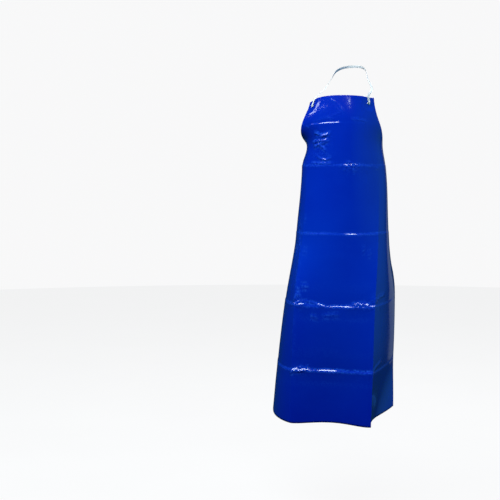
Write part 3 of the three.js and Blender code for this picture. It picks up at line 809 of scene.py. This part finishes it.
class APRON_OT_eyelets(bpy.types.Operator):
    """Makes the four eyelets and their washers"""

    bl_idname = "apron.eyelets"
    bl_label = "Eyelets and Washers"

    def execute(self, context):
        settings = context.scene.apron_eyelets
        bore = settings.bore_radius / MM
        flange = settings.flange_radius / MM
        wall = bore + 0.5
        metal = nickel_material(settings)
        barrel = [
            (bore, -2.60), (bore + 0.12, -2.85), (bore + 0.35, -3.00), (bore + 0.65, -3.05),
            (bore + 1.15, -3.03), (bore + 1.45, -2.92), (bore + 1.62, -2.70), (bore + 1.60, -2.45),
            (bore + 1.45, -2.28), (wall, -2.25), (wall, -1.0), (wall, 0.45), (flange - 0.35, 0.45),
            (flange - 0.10, 0.52), (flange, 0.72), (flange - 0.06, 0.95), (flange - 0.28, 1.16),
            (flange - 0.70, 1.30), (flange - 1.25, 1.35), (bore + 0.95, 1.32), (bore + 0.50, 1.20),
            (bore + 0.20, 1.00), (bore + 0.05, 0.75), (bore, 0.45), (bore, -1.0),
        ]
        master = turned_ring("eyelet", [(r * MM, z * MM) for r, z in barrel])
        copies_at_eyelets(master, "eyelet", metal)
        inner = wall + 0.3
        ring = [
            (inner, -1.85), (inner + 0.10, -1.95), (flange - 0.25, -1.95), (flange - 0.07, -1.88),
            (flange, -1.72), (flange, -1.35), (flange - 0.10, -1.20), (flange - 0.30, -1.15),
            (inner + 0.45, -1.15), (inner + 0.12, -1.20), (inner, -1.32),
        ]
        master = turned_ring("washer", [(r * MM, z * MM) for r, z in ring])
        copies_at_eyelets(master, "washer", metal)
        return {"FINISHED"}


class APRON_OT_patches(bpy.types.Operator):
    """Makes the round patches welded behind the eyelets"""

    bl_idname = "apron.patches"
    bl_label = "Welded Patches"

    def execute(self, context):
        settings = context.scene.apron_eyelets
        inner = settings.bore_radius / MM + 0.8
        outer = settings.patch_radius / MM
        disc = [(inner, -0.50), (inner, -0.80), (inner + 0.06, -0.85)]
        for weld in (outer - 3.4, outer - 2.2):
            disc += [(weld - 0.32, -0.85), (weld - 0.18, -0.68),
                     (weld + 0.18, -0.68), (weld + 0.32, -0.85)]
        disc += [(outer - 0.12, -0.85), (outer, -0.78), (outer, -0.50), (outer - 0.06, -0.45),
                 (inner + 0.06, -0.45)]
        master = turned_ring("patch", [(r * MM, z * MM) for r, z in disc], sides=96)
        copies_at_eyelets(master, "patch", patch_material(context.scene.apron_film))
        return {"FINISHED"}


# ------------------------ the neck tape
# The way from an eyelet over the shoulder to the back of the neck, for the wearer's left side:
# a place and the direction that the tape's outer face looks in.
SHOULDER_ROUTE = (
    ((0.090, -0.098, -0.092), (0.5, -0.5, 0.7)),
    ((0.069, -0.070, -0.052), (0.8, -0.2, 0.5)),
    ((0.056, -0.040, -0.020), (1.0, 0.3, 0.3)),
    ((0.0335, -0.010, -0.004), (0.5, 1.0, 0.3)),
)
TAPE_OUT = 2.15 * MM         # the tape's middle in front of the film's middle
TURN_UP = 9.0 * MM           # where the flat tape starts, above the eyelet's centre
KNOT_OUT = -7.85 * MM        # the knot's middle, behind the film's middle
KNOT_SIZE = 1.55 * MM        # how wide the knot's loop is drawn
KNOT_RISE = 2.6 * MM
KNOT_DEPTH = 0.155 * MM      # how far its turns pass in front of each other
TAPE_PER = 24                # steps between two points of the route
KNOT_PER = 5
TAPE_SIDES = 12


def ribbon(name, line, faces_out, widths, depths):
    """A woven tape along a line, with rounded edges and its length and width laid out flat."""
    line = np.asarray(line, float)
    sides = TAPE_SIDES
    turn = np.linspace(0, 2 * math.pi, sides, endpoint=False) + math.pi / sides
    across = np.sign(np.cos(turn)) * np.abs(np.cos(turn)) ** 0.35
    through = np.sign(np.sin(turn)) * np.abs(np.sin(turn)) ** 0.75
    points, flat = [], []
    run = 0.0
    for i, at in enumerate(line):
        ahead = unit(line[min(i + 1, len(line) - 1)] - line[max(i - 1, 0)])
        out = unit(faces_out[i] - ahead * (faces_out[i] @ ahead))
        side = np.cross(ahead, out)
        run += np.linalg.norm(at - line[max(i - 1, 0)])
        for k in range(sides):
            points.append(at + side * across[k] * widths[i] + out * through[k] * depths[i])
            flat.append((run * 100, (across[k] + 1) / 2))
    faces = []
    for i in range(len(line) - 1):
        for k in range(sides):
            a, b = i * sides + k, i * sides + (k + 1) % sides
            faces.append((a, a + sides, b + sides, b))
    last = (len(line) - 1) * sides
    faces.append(tuple(range(sides)))
    faces.append(tuple(last + k for k in reversed(range(sides))))
    piece = mesh_piece(name, points, faces, flat)
    only(piece)
    bpy.ops.object.mode_set(mode="EDIT")
    bpy.ops.mesh.select_all(action="SELECT")
    bpy.ops.mesh.normals_make_consistent(inside=False)
    bpy.ops.object.mode_set(mode="OBJECT")
    bpy.ops.object.shade_smooth_by_angle(angle=math.radians(60))
    return piece


def blended(values, per):
    """Values at the knots of a line, carried evenly to its points."""
    values = np.asarray(values, float)
    at = np.linspace(0, len(values) - 1, (len(values) - 1) * per + 1)
    low = np.minimum(at.astype(int), len(values) - 2)
    share = at - low
    if values.ndim > 1:
        share = share[:, None]
    return values[low] * (1 - share) + values[low + 1] * share


def tape_material(settings):
    """White tape in a close herringbone weave, with firm edges."""
    look, shader, add, feed = new_material("woven_tape")
    flat = add("ShaderNodeUVMap", uv_map="flat").outputs["UV"]
    parts = add("ShaderNodeSeparateXYZ", {"Vector": flat})
    along, across = parts.outputs["X"], parts.outputs["Y"]
    slant = reckon(add, "ABSOLUTE", reckon(add, "SUBTRACT", across, 0.5))
    shifted = reckon(add, "ADD", along, reckon(add, "MULTIPLY", slant, 0.9))
    rows = reckon(add, "SINE", reckon(add, "MULTIPLY", shifted, 80.0))
    ends = reckon(add, "SINE", reckon(add, "MULTIPLY", across, 76.0))
    weave = reckon(add, "ADD", rows, reckon(add, "MULTIPLY", ends, 0.6))
    place = add("ShaderNodeTexCoord").outputs["Object"]
    fuzz = mottle(add, place, 1500.0, 3.0)
    lift = reckon(add, "ADD", weave, reckon(add, "MULTIPLY", fuzz, 0.8))
    shade = remap(add, weave, 0.0, 0.35, 0.6, -1.2)
    darker = tuple(0.78 * c for c in settings.colour)
    feed(colour_mix(add, shade, rgba(settings.colour), rgba(darker)), "Base Color")
    feed(remap(add, fuzz, 0.70, 0.92, 0.3, 0.7), "Roughness")
    shader.inputs["Sheen Weight"].default_value = 0.25
    shader.inputs["Sheen Roughness"].default_value = 0.5
    feed(relief_of(add, lift, 0.00010, 0.7), "Normal")
    return look


def tape_knot(place):
    """Line, faces, half widths and half depths of a tape end: turned in, knotted, hanging."""
    centre, out, rise = eyelet_seat(place)
    side = np.cross(rise, out)

    def at(outward, sideways, up):
        return centre + out * outward + side * sideways + rise * up

    knots = [
        (at(TAPE_OUT + 0.2 * MM, 0, TURN_UP), out, 4.5, 0.5),
        (at(TAPE_OUT + 0.6 * MM, 0, TURN_UP - 3.3 * MM), out, 4.1, 0.75),
        (at(TAPE_OUT + 1.7 * MM, 0, 2.2 * MM), out - 0.6 * rise, 3.0, 1.3),
        (at(1.5 * MM, 0, 0.2 * MM), -rise, 2.3, 2.0),
        (at(-1.0 * MM, 0, 0), -rise, 2.2, 2.1),
        (at(-3.6 * MM, 0.1 * MM, 0), -rise, 2.0, 1.9),
    ]
    for t in np.linspace(-1.98, 1.98, 15):
        x = KNOT_SIZE * (t ** 3 - 3 * t)
        y = KNOT_SIZE * (t ** 4 - 4 * t ** 2) + KNOT_RISE
        z = KNOT_OUT + KNOT_DEPTH * (t ** 5 - 10 * t)
        face = unit(out * 0.6 + side * (x / MM) * 0.2 + rise * (y / MM) * 0.2)
        knots.append((at(z, x, y), face, 2.1, 1.15))
    knots += [
        (at(KNOT_OUT - 2.6 * MM, -3.6 * MM, -3.0 * MM), out, 2.8, 0.8),
        (at(KNOT_OUT - 1.2 * MM, -1.6 * MM, -10.0 * MM), out, 4.2, 0.5),
        (at(KNOT_OUT - 1.0 * MM, -0.4 * MM, -22.0 * MM), out, 4.5, 0.5),
        (at(KNOT_OUT - 0.5 * MM, 0, -38.0 * MM), out, 4.5, 0.5),
    ]
    line = smooth_line([k[0] for k in knots], KNOT_PER)
    faces, widths, depths = (blended([k[i] for k in knots], KNOT_PER) for i in (1, 2, 3))
    return line, faces, widths * MM, depths * MM


class APRON_OT_neck_tape(bpy.types.Operator):
    """Makes the neck tape and its two knotted ends"""

    bl_idname = "apron.neck_tape"
    bl_label = "Neck Tape"

    def execute(self, context):
        settings = context.scene.apron_tape
        look = tape_material(settings)
        for hand in ("left", "right"):
            end = ribbon(f"tape_end_{hand}", *tape_knot(f"bib_{hand}"))
            end.data.materials.append(look)
            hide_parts(f"neck_tape_end_{hand}")
            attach(end, "apron")

        for hand, side in (("left", 1), ("right", -1)):
            centre, out, rise = eyelet_seat(f"bib_{hand}")
            way = [(centre + out * (TAPE_OUT + 0.2 * MM) + rise * TURN_UP, out),
                   (centre + out * TAPE_OUT + rise * 27 * MM, unit(out + np.array((0, 0, 0.3))))]
            way += [(np.array((side * x, y, z)), unit((side * a, b, c)))
                    for (x, y, z), (a, b, c) in SHOULDER_ROUTE]
            if side > 0:
                knots = way + [(np.array((0.0, 0.5 * MM, 0.0)), np.array((0.0, 1.0, 0.0)))]
            else:
                knots += way[::-1]
        line = smooth_line([k[0] for k in knots], TAPE_PER)
        faces = blended([k[1] for k in knots], TAPE_PER)
        widths = np.full(len(line), settings.width / 2)
        depths = np.full(len(line), settings.thickness / 2)
        run = np.concatenate([[0], np.cumsum(np.linalg.norm(np.diff(line, axis=0), axis=1))])
        widths *= 1 - 0.05 * np.sin(run * 61) ** 2
        tape = ribbon("neck_tape_woven", line, faces, widths, depths)
        tape.data.materials.append(look)
        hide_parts("neck_tape")
        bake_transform(tape)
        return {"FINISHED"}


# ------------------------ the stage
FILL_COLOUR = (0.08, 0.5, 1.0)
FILL_LOW = 0.06
FILL_HIGH = 0.6
STUDIO_WHITE = (0.94, 0.94, 0.945)
COOL_WHITE = (0.86, 0.98, 1.0)
PALE_BLUE = (0.7, 0.85, 1.0)
CAMERA_PLACE = (0.822, -4.130, -0.425)
CAMERA_TURN = (86.35, 0.0, 16.55)        # degrees
FLOOR_RADIUS = 9.0


def soft_light(name, place, target, size, power, tint=(1, 1, 1)):
    """A rectangular soft light aimed at a point."""
    data = bpy.data.lights.new(name, "AREA")
    data.shape = "RECTANGLE"
    data.size, data.size_y = size
    data.energy = power
    data.color = tint
    light = bpy.data.objects.new(name, data)
    light.location = place
    light.rotation_euler = (Vector(target) - Vector(place)).to_track_quat("-Z", "Y").to_euler()
    light.visible_camera = False
    bpy.context.scene.collection.objects.link(light)


def plain_world():
    """A white studio to the eye that lights the piece with a dim blue fill, strongest from its left."""
    world = bpy.data.worlds.new("studio")
    bpy.context.scene.world = world
    world.use_nodes = True
    add = node_adder(world.node_tree)
    where = add("ShaderNodeTexCoord").outputs["Generated"]
    across = add("ShaderNodeSeparateXYZ", {"Vector": where}).outputs["X"]
    side = remap(add, across, FILL_LOW, FILL_HIGH, 0.3, 1.0)
    lit = add("ShaderNodeBackground", {"Color": rgba(FILL_COLOUR), "Strength": side})
    seen = add("ShaderNodeBackground", {"Color": rgba(STUDIO_WHITE)})
    ray = add("ShaderNodeLightPath").outputs["Is Camera Ray"]
    pick = add("ShaderNodeMixShader", {"Fac": ray, 1: lit.outputs["Background"],
                                       2: seen.outputs["Background"]})
    add("ShaderNodeOutputWorld", {"Surface": pick.outputs["Shader"]})


def floor_material():
    """A plain pale floor with the faintest mottling."""
    look, shader, add, feed = new_material("pale_floor")
    place = add("ShaderNodeTexCoord").outputs["Object"]
    feed(colour_mix(add, mottle(add, place, 1.5, 3.0), (0.05, 0.05, 0.052, 1), (0.07, 0.07, 0.072, 1)),
         "Base Color")
    shader.inputs["Roughness"].default_value = 0.9
    shader.inputs["Specular IOR Level"].default_value = 0.0
    shader.inputs["Emission Color"].default_value = (1.0, 1.0, 1.0, 1.0)
    shader.inputs["Emission Strength"].default_value = 0.88
    return look


class APRON_OT_stage(bpy.types.Operator):
    """Makes the camera, the pale floor and the soft studio lights"""

    bl_idname = "apron.stage"
    bl_label = "Camera, Floor and Lights"

    def execute(self, context):
        settings = context.scene.apron_stage
        data = bpy.data.cameras.new("camera")
        data.lens = settings.lens
        data.sensor_width = 36.0
        camera = bpy.data.objects.new("camera", data)
        camera.location = CAMERA_PLACE
        camera.rotation_euler = [math.radians(turn) for turn in CAMERA_TURN]
        context.scene.collection.objects.link(camera)
        context.scene.camera = camera

        hem = CAD_BOX[0].z
        bpy.ops.object.select_all(action="DESELECT")
        bpy.ops.mesh.primitive_circle_add(vertices=96, radius=FLOOR_RADIUS, fill_type="NGON",
                                          location=(0, 0, hem - settings.floor_drop))
        floor = context.active_object
        floor.name = "floor"
        floor.data.materials.append(floor_material())
        floor.visible_glossy = False
        floor.visible_diffuse = False

        middle = (0.0, -0.1, (CAD_BOX[0].z + CAD_BOX[1].z) / 2)
        soft_light("overhead", (-0.7, -2.3, 2.35), middle, (4.4, 1.1), settings.overhead, COOL_WHITE)
        soft_light("side", (-2.6, -0.35, 1.9), middle, (1.1, 1.4), settings.side, COOL_WHITE)
        soft_light("back", (0.6, 2.2, 2.4), middle, (2.4, 1.2), settings.back)
        soft_light("streak", (0.57, 2.4, -0.82), (0.13, -0.1, -0.86), (0.5, 1.6), settings.streak,
                   PALE_BLUE)
        plain_world()
        context.scene.view_settings.view_transform = "Standard"
        context.scene.view_settings.look = "None"
        return {"FINISHED"}


class APRON_PT_panel(bpy.types.Panel):
    """Lists the apron's settings and the steps that build it"""

    bl_idname = "APRON_PT_panel"
    bl_label = "Butcher Apron"
    bl_space_type = "VIEW_3D"
    bl_region_type = "UI"
    bl_category = "Apron"

    def draw(self, context):
        layout = self.layout
        for name, group in SETTINGS.items():
            box = layout.box()
            box.label(text=group.__doc__)
            for field in group.__annotations__:
                box.prop(getattr(context.scene, name), field)
        for step in STEPS:
            layout.operator(step.bl_idname)


STEPS = (APRON_OT_stage, APRON_OT_neck_tape, APRON_OT_film, APRON_OT_eyelets, APRON_OT_patches)
SETTINGS = {
    "apron_film": ApronFilmSettings,
    "apron_eyelets": ApronEyeletSettings,
    "apron_tape": ApronTapeSettings,
    "apron_stage": ApronStageSettings,
}


def register():
    for group in SETTINGS.values():
        bpy.utils.register_class(group)
    for step in STEPS:
        bpy.utils.register_class(step)
    bpy.utils.register_class(APRON_PT_panel)
    for name, group in SETTINGS.items():
        setattr(bpy.types.Scene, name, PointerProperty(type=group))


def unregister():
    for name in SETTINGS:
        delattr(bpy.types.Scene, name)
    bpy.utils.unregister_class(APRON_PT_panel)
    for step in reversed(STEPS):
        bpy.utils.unregister_class(step)
    for group in reversed(list(SETTINGS.values())):
        bpy.utils.unregister_class(group)


def main():
    """Builds the stage and every piece in order."""
    register()
    bpy.ops.apron.stage()
    bpy.ops.apron.neck_tape()
    bpy.ops.apron.film()
    bpy.ops.apron.eyelets()
    bpy.ops.apron.patches()


if __name__ == "__main__":
    main()
